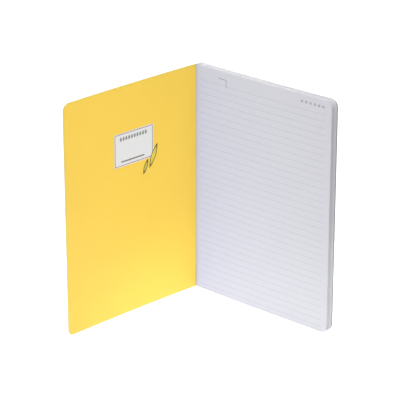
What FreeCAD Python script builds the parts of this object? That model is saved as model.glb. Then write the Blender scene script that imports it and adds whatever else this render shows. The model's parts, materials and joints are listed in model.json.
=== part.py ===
"""Soft-cover lined notebook, A5, standing open on its tail edge.

The block of leaves is held along its spine face by a film of hot-melt glue, which also holds the middle
strip of a thin card cover. The two cover boards turn about the scored folds at the corners of the spine.

Working frame: the notebook is drawn closed. X runs from the spine to the fore edge, Y from the front
cover to the back cover, and Z up, from the tail of the leaves to their head. The origin is the front
corner of the block's spine face. The front cover is then turned open, the whole is turned so that the
two covers spread evenly about the Y axis, and it is moved until the middle of its footprint is the
origin. Millimetres and degrees.
"""
import FreeCAD
import Part
import math
import os

# Leaves
LEAF_WIDTH = 148.0
LEAF_HEIGHT = 210.0
LEAF_COUNT = 60
LEAF_THICKNESS = 0.10
CORNER_RADIUS = 6.5

# How the block lies: pinched in the gutter, a little loose at the fore edge, bowed towards the reader
GUTTER_WIDTH = 5.0
GUTTER_DEPTH = 0.8
FORE_EDGE_SWELL = 1.4
BLOCK_BOW = 0.8

# Grooves milled across the spine face, which the glue fills to grip every leaf
NOTCH_DEPTH = 0.6
NOTCH_WIDTH = 1.0
NOTCH_PITCH = 5.0

# Glue and cover card
GLUE_THICKNESS = 0.4
CARD_THICKNESS = 0.4
COVER_BOW = 1.2
COVER_GAP = 0.2
FOLD_CLEARANCE = 0.05

# How far the front cover stands open, counted from closed
OPENING_ANGLE = 95.4

# Sizes that follow
BLOCK_THICKNESS = LEAF_COUNT * LEAF_THICKNESS
FORE_EDGE_THICKNESS = BLOCK_THICKNESS + FORE_EDGE_SWELL
HALF_CARD = CARD_THICKNESS / 2
FOLD_X = -GLUE_THICKNESS - HALF_CARD
FRONT_FOLD = FreeCAD.Vector(FOLD_X, -COVER_GAP - HALF_CARD, 0)
BACK_FOLD = FreeCAD.Vector(FOLD_X, BLOCK_THICKNESS + COVER_GAP + HALF_CARD, 0)
COVER_REACH = LEAF_WIDTH - FOLD_X
BACK_COVER_SLOPE = math.degrees(math.atan2(FORE_EDGE_SWELL, COVER_REACH))
SPREAD_ANGLE = (180 - OPENING_ANGLE) / 2

UP = FreeCAD.Vector(0, 0, 1)
ORIGIN = FreeCAD.Vector(0, 0, 0)


def at(x, y):
    """A point of a section, which lies in the plane of the tail."""
    return FreeCAD.Vector(x, y, 0)


def straight(start, end):
    return Part.LineSegment(start, end).toShape()


def bowed(start, end, bow):
    """An arc whose middle stands off its chord by bow, along Y."""
    middle = (start + end) * 0.5 + at(0, bow)
    return Part.Arc(start, middle, end).toShape()


def rise_from_gutter(bottom, top):
    """The arc that climbs from the gutter and ends level, along X."""
    run = top.x - bottom.x
    rise = bottom.y - top.y
    radius = (run ** 2 + rise ** 2) / (2 * rise)
    half_turn = math.asin(run / radius) / 2
    middle = at(top.x - radius * math.sin(half_turn), top.y + radius * (1 - math.cos(half_turn)))
    return Part.Arc(bottom, middle, top).toShape()


def stand_up(edges):
    """A section's closed outline, carried from the tail to the head of the leaves."""
    return Part.Face(Part.Wire(edges)).extrude(UP * LEAF_HEIGHT)


def round_corners(solid, fore_edge_x):
    """Rounds the two outer corners, at the tail and at the head of the fore edge."""
    corners = [
        edge
        for edge in solid.Edges
        if abs(edge.BoundBox.XMin - fore_edge_x) < FOLD_CLEARANCE and edge.BoundBox.ZLength < FOLD_CLEARANCE
    ]
    return solid.makeFillet(CORNER_RADIUS, corners)


def trimmed_block():
    """The leaves as they leave the trimmer, before the spine is milled."""
    gutter = at(0, GUTTER_DEPTH)
    crest = at(GUTTER_WIDTH, 0)
    front_fore_edge = at(LEAF_WIDTH, 0)
    back_fore_edge = at(LEAF_WIDTH, FORE_EDGE_THICKNESS)
    back_spine = at(0, BLOCK_THICKNESS)
    block = stand_up([
        rise_from_gutter(gutter, crest),
        bowed(crest, front_fore_edge, -BLOCK_BOW),
        straight(front_fore_edge, back_fore_edge),
        bowed(back_fore_edge, back_spine, -BLOCK_BOW),
        straight(back_spine, gutter),
    ])
    return round_corners(block, LEAF_WIDTH)


def milling_passes():
    """What the milling wheel sweeps: even grooves from the front leaf to the back one, centred on the height."""
    count = int((LEAF_HEIGHT - NOTCH_WIDTH) / NOTCH_PITCH)
    first_z = (LEAF_HEIGHT - (count - 1) * NOTCH_PITCH - NOTCH_WIDTH) / 2
    passes = []
    for number in range(count):
        corner = FreeCAD.Vector(0, -BLOCK_THICKNESS, first_z + number * NOTCH_PITCH)
        passes.append(Part.makeBox(NOTCH_DEPTH, 3 * BLOCK_THICKNESS, NOTCH_WIDTH, corner))
    return passes


def page_block():
    return trimmed_block().cut(milling_passes())


def spine_glue():
    """A film over the spine face, with a rib of glue in each milled groove."""
    depth = BLOCK_THICKNESS - GUTTER_DEPTH
    film = Part.makeBox(GLUE_THICKNESS, depth, LEAF_HEIGHT, at(-GLUE_THICKNESS, GUTTER_DEPTH))
    block = trimmed_block()
    ribs = [block.common(groove) for groove in milling_passes()]
    return film.fuse(ribs).removeSplitter()


def cover_spine():
    """The middle strip of the cover card, rounded over at both folds."""
    outer_x = FOLD_X - HALF_CARD
    inner_x = FOLD_X + HALF_CARD
    front_top = FRONT_FOLD - at(0, HALF_CARD)
    back_top = BACK_FOLD + at(0, HALF_CARD)
    return stand_up([
        Part.Arc(at(outer_x, FRONT_FOLD.y), front_top, at(inner_x, FRONT_FOLD.y)).toShape(),
        straight(at(inner_x, FRONT_FOLD.y), at(inner_x, BACK_FOLD.y)),
        Part.Arc(at(inner_x, BACK_FOLD.y), back_top, at(outer_x, BACK_FOLD.y)).toShape(),
        straight(at(outer_x, BACK_FOLD.y), at(outer_x, FRONT_FOLD.y)),
    ])


def cover_board(bow):
    """One board of the cover, with its fold on the Z axis and its card centred on the X axis."""
    fold_x = HALF_CARD + FOLD_CLEARANCE
    board = stand_up([
        bowed(at(fold_x, -HALF_CARD), at(COVER_REACH, -HALF_CARD), bow),
        straight(at(COVER_REACH, -HALF_CARD), at(COVER_REACH, HALF_CARD)),
        bowed(at(COVER_REACH, HALF_CARD), at(fold_x, HALF_CARD), bow),
        straight(at(fold_x, HALF_CARD), at(fold_x, -HALF_CARD)),
    ])
    return round_corners(board, COVER_REACH)


def front_cover():
    board = cover_board(-COVER_BOW)
    board.rotate(ORIGIN, UP, -OPENING_ANGLE)
    board.translate(FRONT_FOLD)
    return board


def back_cover():
    board = cover_board(-BLOCK_BOW)
    board.rotate(ORIGIN, UP, BACK_COVER_SLOPE)
    board.translate(BACK_FOLD)
    return board


def main():
    pieces = {
        "page_block": page_block(),
        "spine_glue": spine_glue(),
        "cover_spine": cover_spine(),
        "front_cover": front_cover(),
        "back_cover": back_cover(),
    }
    folds = {
        "front_fold": Part.Vertex(FRONT_FOLD),
        "back_fold": Part.Vertex(BACK_FOLD),
    }
    everything = list(pieces.values()) + list(folds.values())
    for shape in everything:
        shape.rotate(ORIGIN, UP, -SPREAD_ANGLE)
    room = Part.makeCompound(list(pieces.values())).optimalBoundingBox(False, False)
    for shape in everything:
        shape.translate(FreeCAD.Vector(-room.Center.x, -room.Center.y, -room.ZMin))

    os.makedirs("parts", exist_ok=True)
    for name, shape in pieces.items():
        shape.exportStep(os.path.join("parts", name + ".step"))
        print(f"{name}: {shape.Volume / 1000:.3f} cm3, valid {shape.isValid()}")
    for name, shape in folds.items():
        print(f"{name}: x {shape.X:.4f}, y {shape.Y:.4f}")
    print(f"outside size: {room.XLength:.2f} x {room.YLength:.2f} x {room.ZLength:.2f}")


main()
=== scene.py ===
# %% [markdown]
# # A soft-cover lined notebook, standing open
# The real notebook is a block of ruled leaves, milled and glued along one side into a thin yellow card
# cover. It stands on its tail edge with the front cover turned back. The CAD model holds the true sizes and
# the two folds that the cover turns about. This lesson dresses it: the leaves are laid one by one, the card
# is cut flat, creased and folded as a binder would, print goes on both, and a plain studio goes round them.

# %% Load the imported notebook
import json
import math
import random
import bmesh
import bpy
import numpy as np
from mathutils import Matrix, Vector


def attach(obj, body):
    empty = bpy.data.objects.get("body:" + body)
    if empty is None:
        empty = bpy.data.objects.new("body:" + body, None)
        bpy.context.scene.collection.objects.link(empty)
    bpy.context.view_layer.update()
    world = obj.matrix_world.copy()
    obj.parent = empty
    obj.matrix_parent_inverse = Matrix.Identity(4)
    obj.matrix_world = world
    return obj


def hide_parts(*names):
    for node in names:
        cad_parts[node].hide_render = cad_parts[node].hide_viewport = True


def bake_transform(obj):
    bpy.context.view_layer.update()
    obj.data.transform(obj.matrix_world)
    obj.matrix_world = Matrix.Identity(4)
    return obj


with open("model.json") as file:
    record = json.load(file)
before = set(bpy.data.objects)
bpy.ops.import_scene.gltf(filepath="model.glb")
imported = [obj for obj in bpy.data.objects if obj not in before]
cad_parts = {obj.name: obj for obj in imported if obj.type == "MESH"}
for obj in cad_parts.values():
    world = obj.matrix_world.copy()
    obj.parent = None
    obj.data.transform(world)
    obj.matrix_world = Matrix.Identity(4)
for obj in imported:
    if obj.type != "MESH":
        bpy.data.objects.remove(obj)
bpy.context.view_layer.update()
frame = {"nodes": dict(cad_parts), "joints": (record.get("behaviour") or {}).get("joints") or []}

joints = {joint["name"]: joint for joint in frame["joints"]}
print("CAD nodes:", ", ".join(sorted(frame["nodes"])))

# %% [markdown]
# ## The closed notebook as a ruler
# Everything in a book is easiest to place while the book is closed: so far out from the spine, so deep
# behind the first leaf, so high above the tail. Each place below is given that way, and one matrix then
# turns it into the standing notebook's frame.
#
# The sizes could be typed in. They are measured on the CAD nodes instead, once those are turned square to
# the axes, so the looks follow the CAD when a size there changes.

# %% Turning the CAD square
MM = 0.001
CORNER_RADIUS = 6.5 * MM
LEAF_COUNT = 60

opening = math.radians(-joints["front_fold"]["range_deg"][0])
quarter_view = Matrix.Rotation((opening - math.pi) / 2, 4, "Z")
to_square = quarter_view.inverted()


def square_box(node):
    """A node's lowest and highest corners, once its leaves lie along X."""
    places = [to_square @ vertex.co for vertex in frame["nodes"][node].data.vertices]
    low = Vector([min(place[axis] for place in places) for axis in range(3)])
    high = Vector([max(place[axis] for place in places) for axis in range(3)])
    return low, high


def square_hinge(joint):
    place = to_square @ Vector(joints[joint]["pos_m"])
    return Vector((place.x, place.y, 0))


print(f"the cover stands {math.degrees(opening):.1f} degrees open")

# %% Sizes and the closed frame
leaves_low, leaves_high = square_box("page_block")
glue_low, glue_high = square_box("spine_glue")
strip_low, strip_high = square_box("cover_spine")
front_hinge, back_hinge = square_hinge("front_fold"), square_hinge("back_fold")

LEAF_WIDTH = leaves_high.x - leaves_low.x
LEAF_HEIGHT = leaves_high.z - leaves_low.z
CARD = strip_high.x - strip_low.x
GLUE = leaves_low.x - strip_high.x
COVER_GAP = back_hinge.y - CARD / 2 - glue_high.y
first_page = Vector((leaves_low.x, front_hinge.y + CARD / 2 + COVER_GAP, 0))
BLOCK_DEPTH = glue_high.y - first_page.y
GUTTER_DEPTH = glue_low.y - first_page.y
FORE_EDGE_DEPTH = leaves_high.y - first_page.y

FRONT_FOLD = front_hinge - first_page
BACK_FOLD = back_hinge - first_page
closed_to_row = quarter_view @ Matrix.Translation(first_page)
spine_corner = closed_to_row @ Vector((0, 0, 0))
print(f"leaves {LEAF_WIDTH / MM:.2f} x {LEAF_HEIGHT / MM:.2f} mm")
print(f"block {BLOCK_DEPTH / MM:.2f} mm deep at the spine, {FORE_EDGE_DEPTH / MM:.2f} mm at the fore edge")
print(f"card {CARD / MM:.2f} mm, glue {GLUE / MM:.2f} mm")

# %% [markdown]
# ## The camera
# A long lens from above the table keeps the upright edges nearly parallel, the way a catalogue picture
# does. The camera is aimed at the fold, half way up the leaf, and is then slid a little sideways and down in
# its own plane. That frames the notebook with no lens shift.

# %% Camera
CAMERA_DISTANCE = 1.856
CAMERA_AZIMUTH = math.radians(-1.28)
CAMERA_ELEVATION = math.radians(22.56)
CAMERA_SLIDE = (3.6 * MM, -19.9 * MM)
CAMERA_LENS = 190.35


def add_camera():
    level = math.cos(CAMERA_ELEVATION)
    back = Vector((
        math.sin(CAMERA_AZIMUTH) * level,
        -math.cos(CAMERA_AZIMUTH) * level,
        math.sin(CAMERA_ELEVATION),
    ))
    turn = back.to_track_quat("Z", "Y")
    aim = spine_corner + Vector((0, 0, LEAF_HEIGHT / 2)) + turn @ Vector((*CAMERA_SLIDE, 0))
    bpy.ops.object.camera_add(location=aim + back * CAMERA_DISTANCE, rotation=turn.to_euler())
    camera = bpy.context.object
    camera.data.lens = CAMERA_LENS
    camera.data.clip_end = 20
    bpy.context.scene.camera = camera
    return camera


camera = add_camera()
print("camera at", [round(value, 3) for value in camera.location])

# %% [markdown]
# ## Cutting a sheet
# A leaf and a cover board start in the same way: a flat rectangle, its two outer corners rounded by the
# trimmer. A plane does that, with a vertex bevel for the corners. Rows of bisect cuts then divide it into
# upright columns, so that it can bend smoothly later. Edit mode acts on whatever is selected, so a small
# helper picks vertices or faces by where they are.

# %% Picking by place, and cutting a sheet
def lay_aside():
    """Leaves nothing selected, so that the next operator acts only on what is picked for it."""
    bpy.ops.object.select_all(action="DESELECT")


def pick(sheet, kind, wanted):
    """In edit mode, selects only the verts or faces whose middle passes the test."""
    bpy.ops.mesh.select_mode(type="VERT" if kind == "verts" else "FACE")
    bpy.ops.mesh.select_all(action="DESELECT")
    mesh = bmesh.from_edit_mesh(sheet.data)
    for part in getattr(mesh, kind):
        middle = part.co if kind == "verts" else part.calc_center_median()
        if wanted(middle):
            part.select_set(True)
    mesh.select_flush_mode()
    bmesh.update_edit_mesh(sheet.data)


def cut_sheet(name, near, far, corner_steps, columns):
    """A flat sheet on its tail, from X near to X far, with round outer corners; left in edit mode."""
    lay_aside()
    bpy.ops.mesh.primitive_plane_add(
        size=1, location=((near + far) / 2, 0, LEAF_HEIGHT / 2), rotation=(math.pi / 2, 0, 0)
    )
    sheet = bpy.context.object
    sheet.name = name
    sheet.scale = (far - near, LEAF_HEIGHT, 1)
    bpy.ops.object.transform_apply(location=True, rotation=True, scale=True)
    bpy.ops.object.mode_set(mode="EDIT")
    if corner_steps:
        pick(sheet, "verts", lambda place: place.x > (near + far) / 2)
        bpy.ops.mesh.bevel(offset=CORNER_RADIUS, segments=corner_steps, affect="VERTICES")
    for distance in columns:
        bpy.ops.mesh.select_all(action="SELECT")
        bpy.ops.mesh.bisect(plane_co=(distance, 0, 0), plane_no=(1, 0, 0))
    return sheet


print("cutting tools ready")


# %% Thickness, flat places, bending and finishes
def thicken(sheet, thickness):
    """Gives the flat sheet its thickness, half to each side, and returns to object mode."""
    bpy.ops.object.mode_set(mode="OBJECT")
    wall = sheet.modifiers.new("thickness", "SOLIDIFY")
    wall.thickness = thickness
    wall.offset = 0
    bpy.ops.object.modifier_apply(modifier=wall.name)


def mark_flat_places(sheet, depth=0.0):
    """Keeps each point's place on the flat sheet as an attribute, so that print bends with the sheet."""
    places = np.empty(len(sheet.data.vertices) * 3, np.float32)
    sheet.data.vertices.foreach_get("co", places)
    places[1::3] += depth
    flat = sheet.data.attributes.get("flat") or sheet.data.attributes.new("flat", "FLOAT_VECTOR", "POINT")
    flat.data.foreach_set("vector", places)


def reshape(sheet, moved):
    """Moves every point of the sheet by one rule."""
    for vertex in sheet.data.vertices:
        vertex.co = moved(vertex.co)
    sheet.data.update()


def wear(sheet, minus_y, plus_y, edge):
    """Gives the flat sheet one finish on each side and one on its cut edges."""
    for finish in (minus_y, plus_y, edge):
        sheet.data.materials.append(finish)
    for face in sheet.data.polygons:
        face.material_index = 2 if abs(face.normal.y) < 0.5 else int(face.normal.y > 0)


print("bending tools ready")

# %% [markdown]
# ## Reading a place on the sheet
# Print is flat colour inside simple outlines, so it needs no picture. A few Math nodes can say whether a
# point lies in a band, on a ring or inside a leaf, and that answer mixes one ink over another. The nodes
# read the flat place that each sheet carries, and so the print bends and turns with the card.

# %% Colours, links and sums
def tone(red, green, blue):
    """A colour given as it should look, from 0 to 255, as the linear colour that a shader takes."""
    linear = []
    for value in (red, green, blue):
        share = value / 255
        linear.append(share / 12.92 if share <= 0.04045 else ((share + 0.055) / 1.055) ** 2.4)
    return (*linear, 1)


def feed(tree, socket, value):
    """Links a socket to this one, or sets its plain number or colour."""
    if isinstance(value, bpy.types.NodeSocket):
        tree.links.new(value, socket)
    elif isinstance(value, tuple):
        socket.default_value = value[:len(socket.default_value)]
    else:
        socket.default_value = value


def calc(tree, operation, *values):
    """One Math node: the operation on one, two or three numbers or sockets."""
    step = tree.nodes.new("ShaderNodeMath")
    step.operation = operation
    for socket, value in zip(step.inputs, values):
        feed(tree, socket, value)
    return step.outputs[0]


def length_of(tree, across, up):
    return calc(tree, "SQRT", calc(tree, "ADD", calc(tree, "POWER", across, 2), calc(tree, "POWER", up, 2)))


print("a middle grey of 128 is", round(tone(128, 128, 128)[0], 3), "to a shader")


# %% Outlines that print fills
def within(tree, value, low, high):
    """1 where the value is between low and high, else 0."""
    return calc(tree, "COMPARE", value, (low + high) / 2, (high - low) / 2)


def both(tree, *masks):
    """1 where all the masks are 1."""
    answer = masks[0]
    for mask in masks[1:]:
        answer = calc(tree, "MULTIPLY", answer, mask)
    return answer


def either(tree, *masks):
    """1 where any of the masks is 1."""
    answer = masks[0]
    for mask in masks[1:]:
        answer = calc(tree, "MAXIMUM", answer, mask)
    return answer


def block(tree, x, z, box):
    """1 inside the upright rectangle (left, right, bottom, top), in metres on the sheet."""
    return both(tree, within(tree, x, box[0], box[1]), within(tree, z, box[2], box[3]))


def repeat(tree, value, first, pitch):
    """(which copy, distance from its middle) along a row of marks with this pitch."""
    place = calc(tree, "DIVIDE", calc(tree, "SUBTRACT", value, first), pitch)
    copy = calc(tree, "ROUND", place)
    offset = calc(tree, "MULTIPLY", calc(tree, "SUBTRACT", place, copy), pitch)
    return copy, offset


def row_of_marks(tree, out, up, row):
    """(1 along the row, how far out and how high from the nearest mark's middle the point is)."""
    first_out, height, pitch, count = row
    copy, off = repeat(tree, out, first_out, pitch)
    return within(tree, copy, -0.5, count - 0.5), off, calc(tree, "SUBTRACT", up, height)


def paint(tree, below, ink, mask):
    """The colour below with the ink over it where the mask is 1."""
    mix = tree.nodes.new("ShaderNodeMix")
    mix.data_type = "RGBA"
    feed(tree, mix.inputs[0], mask)
    feed(tree, mix.inputs[6], below)
    feed(tree, mix.inputs[7], ink)
    return mix.outputs[2]


def flat_place(tree):
    """The point's place on the flat sheet: the vector, and how far out, deep and high it is."""
    place = tree.nodes.new("ShaderNodeAttribute")
    place.attribute_name = "flat"
    split = tree.nodes.new("ShaderNodeSeparateXYZ")
    tree.links.new(place.outputs["Vector"], split.inputs[0])
    return place.outputs["Vector"], *split.outputs


print("outline tools ready")


# %% Mottle, relief and a plain finish
def cloud(tree, vector, size, detail=2.0, stretch=(1, 1, 1)):
    """Soft noise round 0.5, with features of about this size in metres."""
    spread = tree.nodes.new("ShaderNodeMapping")
    spread.inputs["Scale"].default_value = stretch
    tree.links.new(vector, spread.inputs["Vector"])
    noise = tree.nodes.new("ShaderNodeTexNoise")
    noise.inputs["Scale"].default_value = 1 / size
    noise.inputs["Detail"].default_value = detail
    tree.links.new(spread.outputs[0], noise.inputs["Vector"])
    return noise.outputs["Fac"]


def shift_tone(tree, colour, noise, amount):
    """The colour made lighter and darker by the noise, by up to this share."""
    factor = calc(tree, "MULTIPLY_ADD", calc(tree, "SUBTRACT", noise, 0.5), amount * 2, 1.0)
    scale = tree.nodes.new("ShaderNodeVectorMath")
    scale.operation = "SCALE"
    feed(tree, scale.inputs[0], colour)
    feed(tree, scale.inputs["Scale"], factor)
    return scale.outputs[0]


def relief(tree, height, depth, normal=None):
    """A Bump node: the height from 0 to 1 as a relief of this depth in metres."""
    bump = tree.nodes.new("ShaderNodeBump")
    bump.inputs["Strength"].default_value = 1.0
    bump.inputs["Distance"].default_value = depth
    feed(tree, bump.inputs["Height"], height)
    if normal is not None:
        tree.links.new(normal, bump.inputs["Normal"])
    return bump.outputs[0]


def new_finish(name, roughness, specular):
    """A material with its shader's plain numbers set, and its node tree."""
    finish = bpy.data.materials.new(name)
    finish.use_nodes = True
    shader = finish.node_tree.nodes["Principled BSDF"]
    shader.inputs["Roughness"].default_value = roughness
    shader.inputs["Specular IOR Level"].default_value = specular
    return finish, finish.node_tree, shader


print("finish tools ready")

# %% [markdown]
# ## Writing paper
# Writing paper is a matt felt of fibres, slightly cloudy against the light, with a fine tooth. Bluish
# brightener keeps it cool. It is ruled with thin grey lines, six millimetres apart, and the right-hand
# pages also carry a small corner bracket and a row of six small date rings at the head.
#
# The trimmed edges of many leaves together are painted greyer than a page: their own tone, with painted shade
# for the hairline gaps between leaves. At the fore edge a book that has been leafed through parts into
# bundles. Each bundle's edge is painted its own grey for the light and shade it would get from the air round
# it and how far it stands out: two middle bundles are painted lighter, as lit, and the last one, shut in
# against the cover, is painted darkest, as its shade. One table holds the bundles: the finish takes their
# greys from it here, and the leaves are laid by it later.

# %% Paper, inks and ruling
PAPER = tone(230, 230, 235)
RULE_INK = tone(190, 191, 203)
HEADER_INK = tone(120, 120, 130)
# The leaves' cut edges: their own greyer tone, with painted shade for the hairline gaps between leaves
PAPER_EDGE_AND_GAP_SHADE = tone(187, 186, 190)
# Each bundle of leaves: its first leaf, the air before it, how far its fore edge stands back, and its tone,
# a grey of painted light or shade at the fore edge
BUNDLES = (
    (0, 0, 0.3 * MM, PAPER_EDGE_AND_GAP_SHADE),
    (10, 0.1 * MM, 0.3 * MM, PAPER_EDGE_AND_GAP_SHADE),
    # These two lighter greys are painted light, as if these bundles' edges caught more of it
    (34, 0.3 * MM, 0, tone(206, 205, 209)),
    (42, 0.1 * MM, 0, tone(214, 213, 217)),
    # This dark grey is painted shade, for the gap where the last bundle shuts in against the back cover
    (50, 0.3 * MM, 0, tone(145, 144, 148)),
)
RULE_PITCH = 6 * MM
RULE_COUNT = 33
FIRST_RULE = 12.7 * MM
RULE_WIDTH = 0.22 * MM
RULE_ENDS = (4.5 * MM, 142 * MM)
PEN = 0.4 * MM
BRACKET = (26 * MM, 35 * MM, 196.4 * MM, 203.2 * MM)
RING_RADII = (0.6 * MM, 1.05 * MM)
# A row of marks: how far out and how high its first mark is, the pitch, and how many there are
RING_ROW = (117.2 * MM, 204.0 * MM, 4.45 * MM, 6)
lowest_rule = LEAF_HEIGHT - FIRST_RULE - (RULE_COUNT - 1) * RULE_PITCH
print(f"the lowest rule is {lowest_rule / MM:.1f} mm above the tail")


# %% Ruled pages
def paper_tone(tree, flat):
    formation = cloud(tree, flat, 4 * MM, 3)
    fibre = cloud(tree, flat, 0.35 * MM, 2, (1, 1, 0.4))
    colour = shift_tone(tree, PAPER, formation, 0.012)
    return shift_tone(tree, colour, fibre, 0.02)


def header_marks(tree, out, up):
    """The corner bracket at the left of the head, and the six date rings at its right."""
    left, right, bottom, top = BRACKET
    bar = block(tree, out, up, (left, right, top - PEN, top))
    post = block(tree, out, up, (right - PEN, right, bottom, top))
    in_row, off, rise = row_of_marks(tree, out, up, RING_ROW)
    rings = both(tree, within(tree, length_of(tree, off, rise), *RING_RADII), in_row)
    return either(tree, bar, post, rings)


def ruled_paper(name, with_header):
    finish, tree, shader = new_finish(name, 0.85, 0.25)
    flat, out, _, up = flat_place(tree)
    line, off = repeat(tree, up, LEAF_HEIGHT - FIRST_RULE, -RULE_PITCH)
    rules = both(
        tree,
        within(tree, off, -RULE_WIDTH / 2, RULE_WIDTH / 2),
        within(tree, line, -0.5, RULE_COUNT - 0.5),
        within(tree, out, *RULE_ENDS),
    )
    colour = paint(tree, paper_tone(tree, flat), RULE_INK, rules)
    if with_header:
        colour = paint(tree, colour, HEADER_INK, header_marks(tree, out, up))
    feed(tree, shader.inputs["Base Color"], colour)
    feed(tree, shader.inputs["Normal"], relief(tree, cloud(tree, flat, 0.25 * MM, 4), 0.012 * MM))
    return finish


right_page = ruled_paper("ruled_page_right", True)
left_page = ruled_paper("ruled_page_left", False)
print("pages:", right_page.name, left_page.name)


# %% Trimmed edges of the leaves
def cut_paper():
    """The trimmed edge of many leaves, streaked; each fore-edge bundle gets a grey of painted light or shade.
    """
    finish, tree, shader = new_finish("cut_paper_edge", 0.95, 0.15)
    flat, out, deep, _ = flat_place(tree)
    outermost = calc(tree, "MULTIPLY_ADD", out, 1 / CORNER_RADIUS, 1 - LEAF_WIDTH / CORNER_RADIUS)
    fore_edge = calc(tree, "MAXIMUM", outermost, 0)
    colour = PAPER_EDGE_AND_GAP_SHADE
    # Painted light and shade: each bundle's fore edge gets its lighter or darker grey from the table
    for first, _, _, painted_light_or_shade in BUNDLES:
        from_here_back = calc(tree, "GREATER_THAN", deep, BLOCK_DEPTH * first / LEAF_COUNT)
        colour = paint(tree, colour, painted_light_or_shade, both(tree, fore_edge, from_here_back))
    streaks = cloud(tree, flat, 0.5 * MM, 3, (0.12, 6, 0.12))
    colour = shift_tone(tree, colour, streaks, 0.10)
    feed(tree, shader.inputs["Base Color"], colour)
    feed(tree, shader.inputs["Normal"], relief(tree, streaks, 0.02 * MM))
    return finish


paper_edge = cut_paper()
print("edges:", paper_edge.name)

# %% [markdown]
# ## The leaves
# The block of 60 leaves could be one solid with a striped edge, but then its edges stay flat stripes when
# someone looks close. Real leaves are thin slabs with a little air between them, pinched together at the
# glue and loose at the fore edge. So one leaf is modelled, with the grooves that the milling wheel cuts
# across its spine edge, and it is copied 60 times, each copy bent to its own depth in the block.

# %% One leaf
LEAF_THICKNESS = 0.082 * MM
GROOVE_DEPTH = 0.6 * MM
GROOVE_WIDTH = 1.0 * MM
GROOVE_PITCH = 5 * MM
GROOVE_COUNT = int((LEAF_HEIGHT - GROOVE_WIDTH) / GROOVE_PITCH)


def mill_spine_edge(leaf):
    """Cuts the even row of grooves out of the leaf's first column."""
    lowest = (LEAF_HEIGHT - (GROOVE_COUNT - 1) * GROOVE_PITCH - GROOVE_WIDTH) / 2

    def in_first_column(place):
        return place.x < GROOVE_DEPTH

    def in_groove(place):
        return in_first_column(place) and (place.z - lowest) % GROOVE_PITCH < GROOVE_WIDTH

    for number in range(GROOVE_COUNT):
        for side in (0, GROOVE_WIDTH):
            pick(leaf, "faces", in_first_column)
            height = lowest + number * GROOVE_PITCH + side
            bpy.ops.mesh.bisect(plane_co=(0, 0, height), plane_no=(0, 0, 1))
    pick(leaf, "faces", in_groove)
    bpy.ops.mesh.delete(type="FACE")


leaf_columns = [place * MM for place in (0.6, 1.4, 2.2, 3, 4, 5, 20, 38, 56, 74, 92, 110, 128, 141.5, 145)]
plain_leaf = cut_sheet("plain_leaf", 0, LEAF_WIDTH, 6, leaf_columns)
mill_spine_edge(plain_leaf)
thicken(plain_leaf, LEAF_THICKNESS)
wear(plain_leaf, right_page, left_page, paper_edge)
print("one leaf:", len(plain_leaf.data.polygons), "faces")

# %% [markdown]
# ## Laying the leaves in the block
# The block's front and back surfaces are two gentle curves across the page. A leaf's own curve lies between
# them, in proportion to its depth. At the spine the glue holds the leaves evenly. Towards the fore edge they
# part into the bundles of the table, with air between them, and the last leaf comes to rest on the back
# cover. A leaf's depth is worked out at the spine and at the fore edge, and it runs smoothly from one to the
# other.
#
# The front bundles stand back a third of a millimetre, so a thin line of page shows behind them. No two
# leaves are trimmed to quite the same size either, so each comes out a few hundredths of a millimetre short
# at its edges. The first and the last leaf show a whole page, so each is a piece of its own, and the others
# are joined.

# %% How the leaves lie
BLOCK_BOW = 0.8 * MM
GUTTER_WIDTH = 5 * MM
LAST_LEAF_CLEARANCE = 0.03 * MM
LOOSE_DEPTH = FORE_EDGE_DEPTH + COVER_GAP - LAST_LEAF_CLEARANCE
FORE_EDGE_TRIM = 0.08 * MM
TAIL_AND_HEAD_TRIM = 0.04 * MM

random.seed(60)


def bow(height, share):
    """How far a bowed line stands off its chord, at this share of its length."""
    return 4 * height * share * (1 - share)


def front_of_block(out):
    if out >= GUTTER_WIDTH:
        return -bow(BLOCK_BOW, (out - GUTTER_WIDTH) / (LEAF_WIDTH - GUTTER_WIDTH))
    radius = (GUTTER_WIDTH ** 2 + GUTTER_DEPTH ** 2) / (2 * GUTTER_DEPTH)
    return radius - math.sqrt(radius ** 2 - (GUTTER_WIDTH - out) ** 2)


def back_of_block(out):
    share = out / LEAF_WIDTH
    return BLOCK_DEPTH + (LOOSE_DEPTH - BLOCK_DEPTH) * share - bow(BLOCK_BOW, share)


def part_leaves():
    """Each leaf's depth at the fore edge, as a share of the block: a little air each, more after a bundle."""
    weights = [random.uniform(0.3, 1.7) for _ in range(LEAF_COUNT)]
    air_before = {first: air for first, air, _, _ in BUNDLES}
    spare = LOOSE_DEPTH - LEAF_COUNT * LEAF_THICKNESS - sum(air_before.values())
    shares = []
    depth = LEAF_THICKNESS / 2
    for number, weight in enumerate(weights):
        shares.append(depth / LOOSE_DEPTH)
        depth += LEAF_THICKNESS + spare * weight / sum(weights) + air_before.get(number + 1, 0)
    return shares


glued = [(number + 0.5) / LEAF_COUNT for number in range(LEAF_COUNT)]
loose = part_leaves()
widest = max(after - before for before, after in zip(loose, loose[1:])) * LOOSE_DEPTH
print(f"widest step from leaf to leaf at the fore edge: {widest / MM:.2f} mm")


# %% The block of leaves
def depth_of_leaf(number, out):
    """The leaf's depth as a share of the block, this far out from the spine."""
    parted = math.sin(math.pi / 2 * out / LEAF_WIDTH)
    return glued[number] + (loose[number] - glued[number]) * parted


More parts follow.
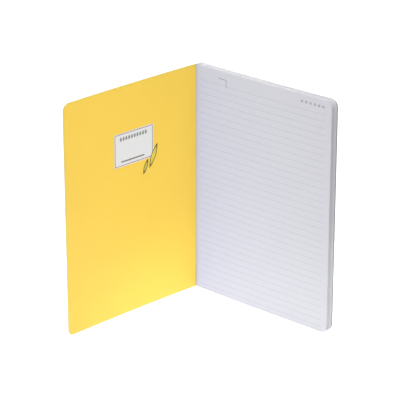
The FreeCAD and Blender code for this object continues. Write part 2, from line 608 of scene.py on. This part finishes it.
def lay_leaf(number, name):
    """A copy of the plain leaf, bent to its depth in the block and set in the standing notebook."""
    leaf = plain_leaf.copy()
    leaf.data = plain_leaf.data.copy()
    leaf.name = name
    bpy.context.collection.objects.link(leaf)
    mark_flat_places(leaf, BLOCK_DEPTH * glued[number])
    stands_back = [back for first, _, back, _ in BUNDLES if number >= first][-1]
    short = stands_back + random.uniform(0, FORE_EDGE_TRIM)
    tail = random.uniform(0, TAIL_AND_HEAD_TRIM)
    head = random.uniform(0, TAIL_AND_HEAD_TRIM)

    def bent(place):
        out = place.x * (1 - short / LEAF_WIDTH)
        depth = depth_of_leaf(number, place.x)
        deep = place.y + front_of_block(place.x) * (1 - depth) + back_of_block(place.x) * depth
        up = tail + place.z * (1 - (tail + head) / LEAF_HEIGHT)
        return closed_to_row @ Vector((out, deep, up))

    reshape(leaf, bent)
    return leaf


first_leaf = lay_leaf(0, "first_leaf")
middle_leaves = [lay_leaf(number, "leaf_stack") for number in range(1, LEAF_COUNT - 1)]
last_leaf = lay_leaf(LEAF_COUNT - 1, "last_leaf")
lay_aside()
for leaf in middle_leaves:
    leaf.select_set(True)
leaf_stack = middle_leaves[0]
bpy.context.view_layer.objects.active = leaf_stack
bpy.ops.object.join()
bpy.data.objects.remove(plain_leaf)
print("leaf stack:", len(leaf_stack.data.polygons), "faces")

# %% Leaves ride on the spine's body
for leaf in (first_leaf, leaf_stack, last_leaf):
    lay_aside()
    leaf.select_set(True)
    bpy.context.view_layer.objects.active = leaf
    bpy.ops.object.shade_smooth_by_angle(angle=math.radians(30))
    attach(leaf, "leaves")
    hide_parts("page_block")
print("the leaves stand for the CAD node page_block")

# %% [markdown]
# ## Cover card
# The cover is a thin card of pale pulp, coated and printed solid yellow on both sides. The coating gives it
# a soft satin gloss with a very fine grain, and the ink is never perfectly even. Where the trimmer cuts it,
# the pale core shows. Fingers dull the yellow along its edges, and the crease cracks the coating a little.
#
# Strong yellow throws a yellow cast on the white page beside it. A product studio takes that out with a
# neutral card held in the fold. Here the Light Path node does it: for light on its way from the card to the
# page, the card answers with a cool grey.

# %% Yellow print and its wear
YELLOW = tone(247, 207, 72)
THUMBED_YELLOW = tone(224, 203, 88)
THUMBED_WIDTH = 2.4 * MM
THUMBED_SHARE = 0.8
CRACKED_YELLOW = tone(250, 232, 160)
CRACK_REACH = 0.22 * MM
CRACK_LEVEL = 0.56
CARD_CORE = tone(190, 190, 194)
CARD_BOUNCE = tone(180, 181, 204)
COVER_REACH = LEAF_WIDTH + GLUE + CARD / 2


def edge_distance(tree, out, up):
    """How far a point lies inside the card's trimmed outline, round corners included."""
    middle = COVER_REACH / 2
    x = calc(tree, "MAXIMUM", calc(tree, "SUBTRACT", out, COVER_REACH - CORNER_RADIUS), -middle)
    from_middle = calc(tree, "ABSOLUTE", calc(tree, "SUBTRACT", up, LEAF_HEIGHT / 2))
    z = calc(tree, "SUBTRACT", from_middle, LEAF_HEIGHT / 2 - CORNER_RADIUS)
    past = length_of(tree, calc(tree, "MAXIMUM", x, 0), calc(tree, "MAXIMUM", z, 0))
    short = calc(tree, "MINIMUM", calc(tree, "MAXIMUM", x, z), 0)
    return calc(tree, "SUBTRACT", CORNER_RADIUS, calc(tree, "ADD", past, short))


def solid_yellow(tree, flat, out, up):
    """The printed yellow: slightly mottled, duller along its edges, and cracked at the crease."""
    mottle = cloud(tree, flat, 14 * MM, 3)
    grain = cloud(tree, flat, 0.5 * MM, 2)
    colour = shift_tone(tree, shift_tone(tree, YELLOW, mottle, 0.015), grain, 0.02)
    inside = calc(tree, "DIVIDE", edge_distance(tree, out, up), THUMBED_WIDTH)
    fading = calc(tree, "MULTIPLY_ADD", inside, -THUMBED_SHARE, THUMBED_SHARE)
    colour = paint(tree, colour, THUMBED_YELLOW, calc(tree, "MAXIMUM", fading, 0))
    flakes = cloud(tree, flat, 0.5 * MM, 3, (1, 1, 0.3))
    crack = both(
        tree,
        within(tree, out, -CRACK_REACH, CRACK_REACH),
        calc(tree, "GREATER_THAN", flakes, CRACK_LEVEL),
    )
    return paint(tree, colour, CRACKED_YELLOW, calc(tree, "MULTIPLY", crack, 0.5))


print(f"the card reaches {COVER_REACH / MM:.1f} mm from its fold")


# %% Coated card and its cut edge
def coated_card(name, print_on=None):
    finish, tree, shader = new_finish(name, 0.45, 0.5)
    flat, out, _, up = flat_place(tree)
    colour = solid_yellow(tree, flat, out, up)
    if print_on:
        colour = print_on(tree, colour, out, up)
    bounce = tree.nodes.new("ShaderNodeLightPath").outputs["Is Diffuse Ray"]
    feed(tree, shader.inputs["Base Color"], paint(tree, colour, CARD_BOUNCE, bounce))
    gloss = calc(tree, "MULTIPLY_ADD", cloud(tree, flat, 6 * MM, 3), 0.12, 0.39)
    feed(tree, shader.inputs["Roughness"], gloss)
    coarse = relief(tree, cloud(tree, flat, 9 * MM, 2), 0.03 * MM)
    feed(tree, shader.inputs["Normal"], relief(tree, cloud(tree, flat, 0.3 * MM, 3), 0.004 * MM, coarse))
    return finish


def cut_card():
    finish, tree, shader = new_finish("cut_card_edge", 0.9, 0.2)
    flat, *_ = flat_place(tree)
    plies = cloud(tree, flat, 0.6 * MM, 3, (0.3, 5, 0.3))
    feed(tree, shader.inputs["Base Color"], shift_tone(tree, CARD_CORE, plies, 0.15))
    feed(tree, shader.inputs["Normal"], relief(tree, plies, 0.03 * MM))
    return finish


plain_card = coated_card("yellow_card")
card_edge = cut_card()
print("card finishes:", plain_card.name, card_edge.name)

# %% [markdown]
# ## The print inside the front cover
# Inside the front cover is a white name label with a thin mauve frame just inside its rim, a row of small
# diamonds at its head and a row of beads at its foot. Two slender leaves grow over its lower corner. Each
# leaf is the overlap of two large circles, and as its two halves mirror each other, the distance from one
# circle's middle gives both. A painted picture could do it too, but drawn outlines stay sharp however near
# the camera comes.

# %% Label sizes and colours
LABEL = (48.3 * MM, 92.7 * MM, 137.6 * MM, 167.9 * MM)
LABEL_MARGIN = 0.7 * MM
FRAME_LINE = 0.6 * MM
LABEL_WHITE = tone(227, 226, 224)
LABEL_FRAME = tone(132, 98, 120)
LABEL_INK = tone(96, 98, 88)
# Rows of marks, given like the rings on the page
DIAMOND_ROW = (56.8 * MM, 162.4 * MM, 3.15 * MM, 10)
DIAMOND_RIM = (0.6 * MM, 2.2 * MM)
DIAMOND_TALLNESS = 1.7
BEAD_ROW = (59.4 * MM, 142.0 * MM, 1.65 * MM, 16)
BEAD_RADIUS = 0.8 * MM
SPRIG_YELLOW = tone(246, 222, 72)
SPRIG_INK = tone(62, 52, 20)
SPRIG_LINE = 0.95 * MM
SPRIG_VEIN = 0.22 * MM
# Each leaf of the sprig: its middle, how far it leans in degrees, its length and its width
SPRIG = (
    ((48.3 * MM, 138.5 * MM), 24, 23 * MM, 5.4 * MM),
    ((57.2 * MM, 130.6 * MM), 22, 14.5 * MM, 4.0 * MM),
)
print(f"the label is {(LABEL[1] - LABEL[0]) / MM:.1f} x {(LABEL[3] - LABEL[2]) / MM:.1f} mm")


# %% Drawing the label
def inset(box, by):
    return (box[0] + by, box[1] - by, box[2] + by, box[3] - by)


def sprig_leaf(tree, out, up, middle, lean, length, width):
    """(inside, outline, vein) of a slender pointed leaf that leans this far from upright, in degrees."""
    x = calc(tree, "SUBTRACT", out, middle[0])
    z = calc(tree, "SUBTRACT", up, middle[1])
    cosine, sine = math.cos(math.radians(lean)), math.sin(math.radians(lean))
    along = calc(tree, "ADD", calc(tree, "MULTIPLY", z, cosine), calc(tree, "MULTIPLY", x, -sine))
    off_axis = calc(tree, "ADD", calc(tree, "MULTIPLY", z, sine), calc(tree, "MULTIPLY", x, cosine))
    across = calc(tree, "ABSOLUTE", off_axis)
    radius = ((length / 2) ** 2 + (width / 2) ** 2) / width
    far = length_of(tree, along, calc(tree, "ADD", across, radius - width / 2))
    edge = calc(tree, "SUBTRACT", far, radius)
    outline = within(tree, edge, -SPRIG_LINE, 0)
    inside = calc(tree, "LESS_THAN", edge, -SPRIG_LINE / 2)
    vein = both(tree, calc(tree, "LESS_THAN", across, SPRIG_VEIN), calc(tree, "LESS_THAN", edge, 0))
    return inside, outline, vein


def label_print(tree, colour, out, up):
    frame_box = inset(LABEL, LABEL_MARGIN)
    colour = paint(tree, colour, LABEL_WHITE, block(tree, out, up, LABEL))
    colour = paint(tree, colour, LABEL_FRAME, block(tree, out, up, frame_box))
    colour = paint(tree, colour, LABEL_WHITE, block(tree, out, up, inset(frame_box, FRAME_LINE)))
    in_row, off, rise = row_of_marks(tree, out, up, DIAMOND_ROW)
    widened = calc(tree, "MULTIPLY", calc(tree, "ABSOLUTE", off), DIAMOND_TALLNESS)
    slant = calc(tree, "ADD", widened, calc(tree, "ABSOLUTE", rise))
    diamonds = both(tree, within(tree, slant, *DIAMOND_RIM), in_row)
    in_row, off, rise = row_of_marks(tree, out, up, BEAD_ROW)
    beads = both(tree, calc(tree, "LESS_THAN", length_of(tree, off, rise), BEAD_RADIUS), in_row)
    colour = paint(tree, colour, LABEL_INK, either(tree, diamonds, beads))
    for middle, lean, length, width in SPRIG:
        inside, outline, vein = sprig_leaf(tree, out, up, middle, lean, length, width)
        colour = paint(tree, colour, SPRIG_YELLOW, inside)
        colour = paint(tree, colour, SPRIG_INK, either(tree, outline, vein))
    return colour


inner_front = coated_card("yellow_card_with_label", label_print)
print("label print on", inner_front.name)

# %% [markdown]
# ## Creasing and folding the cover
# A binder cuts the cover flat, presses two score lines into it and folds it round the block. The boards are
# made in that order here: cut, thickened, pressed along the fold, and only then folded. Near the fold each
# point turns about the hinge by its share of the angle, so the crease stays whole.

# %% Creasing and folding a board
FRONT_BOW = 1.2 * MM
FOLD_REACH = 0.3 * MM
BOARD_START = 0.25 * MM
STRIP_END = 1.0 * MM
# Each pass of the score line: half its width, how deep the groove sinks, how high the bead inside rises
SCORE_PASSES = (
    (0.2 * MM, 0.03 * MM, 0.015 * MM),
    (0.05 * MM, 0.03 * MM, 0.02 * MM),
)
board_columns = [place * MM for place in (-0.5, -0.3, -0.15, 0, 0.15, 0.3, 0.5, 0.8)]
board_columns += [(8 + 7.4 * number) * MM for number in range(19)]
board_columns += [COVER_REACH - back for back in (4.4 * MM, 2.4 * MM, 1.0 * MM)]


def press_score_line(board, inner_side):
    """Sinks the outer face into a groove along the fold and raises a low bead inside."""
    bpy.ops.object.mode_set(mode="EDIT")
    for reach, groove, bead in SCORE_PASSES:
        pick(board, "verts", lambda place: abs(place.x) < reach and place.y * inner_side < 0)
        bpy.ops.transform.translate(value=(0, inner_side * groove, 0))
        pick(board, "verts", lambda place: abs(place.x) < reach and place.y * inner_side > 0)
        bpy.ops.transform.translate(value=(0, inner_side * bead, 0))
    bpy.ops.object.mode_set(mode="OBJECT")


def fold_board(board, hinge, along, inner_side, turn, bulge):
    """Folds the flat card about the hinge; along is +1 where the card runs on towards the back cover."""
    def folded(place):
        deep = inner_side * place.y
        share = min(max((place.x - BOARD_START) / (COVER_REACH - BOARD_START), 0), 1)
        part = min(max((place.x + FOLD_REACH) / (2 * FOLD_REACH), 0), 1)
        part = part * part * (3 - 2 * part)
        flat = Vector((deep + bow(bulge, share), along * place.x, place.z))
        return closed_to_row @ (hinge + Matrix.Rotation(part * turn, 3, "Z") @ flat)

    mark_flat_places(board)
    reshape(board, folded)


print(len(board_columns), "columns to a board")


# %% Front and back boards
def make_board(name, inside, hinge, along, turn, bulge):
    inner_side = -along
    board = cut_sheet(name, -STRIP_END, COVER_REACH, 10, board_columns)
    thicken(board, CARD)
    press_score_line(board, inner_side)
    sides = (inside, plain_card) if inner_side < 0 else (plain_card, inside)
    wear(board, *sides, card_edge)
    fold_board(board, hinge, along, inner_side, turn, bulge)
    bpy.ops.object.shade_smooth_by_angle(angle=math.radians(30))
    return board


back_board_high = square_box("back_cover")[1]
back_slope = math.asin((back_board_high.y - back_hinge.y - CARD / 2) / COVER_REACH)
front_turn = -(opening - math.pi / 2)
back_turn = -(math.pi / 2 - back_slope)
front_board = make_board("front_cover_card", inner_front, FRONT_FOLD, -1, front_turn, -FRONT_BOW)
back_board = make_board("back_cover_card", plain_card, BACK_FOLD, 1, back_turn, BLOCK_BOW)
print("boards:", len(front_board.data.polygons), "and", len(back_board.data.polygons), "faces")

# %% [markdown]
# ## The boards in place, and the spine strip
# Between the two score lines lies the spine strip, glued flat to the block. It never moves against the
# leaves.


def join_board(board, node):
    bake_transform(board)
    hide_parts(node)


join_board(front_board, "front_cover")
join_board(back_board, "back_cover")


def make_spine_strip():
    """The strip of card between the two boards, cut flat and stood across the spine."""
    near = FRONT_FOLD.y + STRIP_END
    far = BACK_FOLD.y - STRIP_END
    quarters = [near + (far - near) * share for share in (0.25, 0.5, 0.75)]
    strip = cut_sheet("cover_spine_card", near, far, 0, quarters)
    thicken(strip, CARD)
    wear(strip, plain_card, plain_card, card_edge)
    mark_flat_places(strip)
    # The strip has no crease or trimmed side of its own, so its places count as far inside the card
    for place in strip.data.attributes["flat"].data:
        place.vector.x -= 1
    reshape(strip, lambda place: closed_to_row @ Vector((FRONT_FOLD.x - place.y, place.x, place.z)))
    bpy.ops.object.shade_smooth_by_angle(angle=math.radians(30))
    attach(strip, "leaves")
    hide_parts("cover_spine")
    return strip


spine_strip = make_spine_strip()
print("spine strip:", [round(value / MM, 1) for value in spine_strip.dimensions], "mm")

# %% [markdown]
# ## Glue
# Hot-melt glue holds the spine: a thin milky film with a rib in every milled groove. The CAD node already
# has that shape, so it stays and only gets its finish, a waxy off-white that is slightly uneven.

# %% Glue finish
GLUE_MILK = tone(232, 229, 218)


def hot_melt():
    finish, tree, shader = new_finish("hot_melt_glue", 0.35, 0.5)
    place = tree.nodes.new("ShaderNodeTexCoord").outputs["Object"]
    ripple = cloud(tree, place, 2.5 * MM, 3)
    feed(tree, shader.inputs["Base Color"], shift_tone(tree, GLUE_MILK, ripple, 0.06))
    feed(tree, shader.inputs["Roughness"], calc(tree, "MULTIPLY_ADD", ripple, 0.3, 0.2))
    feed(tree, shader.inputs["Normal"], relief(tree, ripple, 0.06 * MM))
    return finish


glue_node = frame["nodes"]["spine_glue"]
glue_node.data.materials.clear()
glue_node.data.materials.append(hot_melt())
print("glue finish on", glue_node.name)

# %% [markdown]
# ## Studio
# The notebook stands on a wide white floor under soft light. A large lamp hangs overhead, a softer one
# stands to the right, and one behind keeps the back of the cover from going dull. Two spots light the floor,
# as a real white table is lit: it then brightens the foot of the cover and the pages in front, and the foot
# of the fore edge at the side. A third one, narrow and low, skims along the page and lights only the foot of
# the cover inside the fold.
#
# Part of the floor's white is added only for rays that come from the camera or a reflection, so the
# background is clean white while a faint shadow stays.

# %% Floor and air
FLOOR_WHITE = (0.72, 0.72, 0.72, 1)
FLOOR_GLOW = 0.7


def seen_light(tree, strength):
    """A strength for camera, mirror and glass rays only."""
    path = tree.nodes.new("ShaderNodeLightPath")
    seen = either(
        tree,
        path.outputs["Is Camera Ray"],
        path.outputs["Is Glossy Ray"],
        path.outputs["Is Transmission Ray"],
    )
    return calc(tree, "MULTIPLY", seen, strength)


def lay_floor():
    lay_aside()
    bpy.ops.mesh.primitive_plane_add(size=8)
    floor = bpy.context.object
    floor.name = "studio_floor"
    finish, tree, shader = new_finish("white_floor", 1.0, 0.0)
    shader.inputs["Base Color"].default_value = FLOOR_WHITE
    shader.inputs["Emission Color"].default_value = (1, 1, 1, 1)
    feed(tree, shader.inputs["Emission Strength"], seen_light(tree, FLOOR_GLOW))
    floor.data.materials.append(finish)


def light_room(strength):
    """White air all round, brighter still for the camera and for reflections."""
    world = bpy.data.worlds.new("studio_air")
    bpy.context.scene.world = world
    world.use_nodes = True
    tree = world.node_tree
    backdrop = tree.nodes["Background"]
    backdrop.inputs["Color"].default_value = (1, 1, 1, 1)
    extra = seen_light(tree, 1 - strength)
    feed(tree, backdrop.inputs["Strength"], calc(tree, "ADD", extra, strength))


lay_floor()
light_room(0.49)
print("white floor and white air")


# %% Lamps
def add_lamp(kind, name, place, aim, power):
    """A lamp that faces the point it is aimed at; gives back its light."""
    lay_aside()
    way = Vector(aim) - Vector(place)
    turn = way.to_track_quat("-Z", "Y").to_euler()
    bpy.ops.object.light_add(type=kind, location=place, rotation=turn)
    lamp = bpy.context.object
    lamp.name = name
    lamp.data.energy = power
    return lamp.data


def hang_lamp(name, place, aim, size, power):
    """A wide, soft lamp of this width and height."""
    light = add_lamp("AREA", name, place, aim, power)
    light.shape = "RECTANGLE"
    light.size, light.size_y = size


def aim_spot(name, place, aim, angle, power, softness=0.12):
    """A round spot, this many degrees wide, that fades from its middle to its rim."""
    light = add_lamp("SPOT", name, place, aim, power)
    light.spot_size = math.radians(angle)
    light.spot_blend = 1.0
    light.shadow_soft_size = softness


hang_lamp("overhead_lamp", (0, -0.15, 1.1), (0, -0.05, 0), (1.0, 1.0), 4.6)
hang_lamp("right_lamp", (1.0, -1.2, 0.8), (0, 0, 0.08), (0.9, 0.9), 4.6)
hang_lamp("rear_lamp", (-0.3, 1.5, 0.9), (0, 0, 0.1), (0.9, 0.9), 9.9)
aim_spot("table_lamp", (-0.03, -0.25, 1.2), (-0.04, -0.04, 0), 24, 49)
aim_spot("side_table_lamp", (0.9, -0.25, 0.9), (0.17, -0.07, 0), 8, 74)
aim_spot("cover_foot_lamp", (0.9, -0.78, 0.3), (-0.02, 0.03, -0.05), 12, 10.7, softness=0.02)
bpy.context.scene.view_settings.view_transform = "Standard"
print("studio ready")
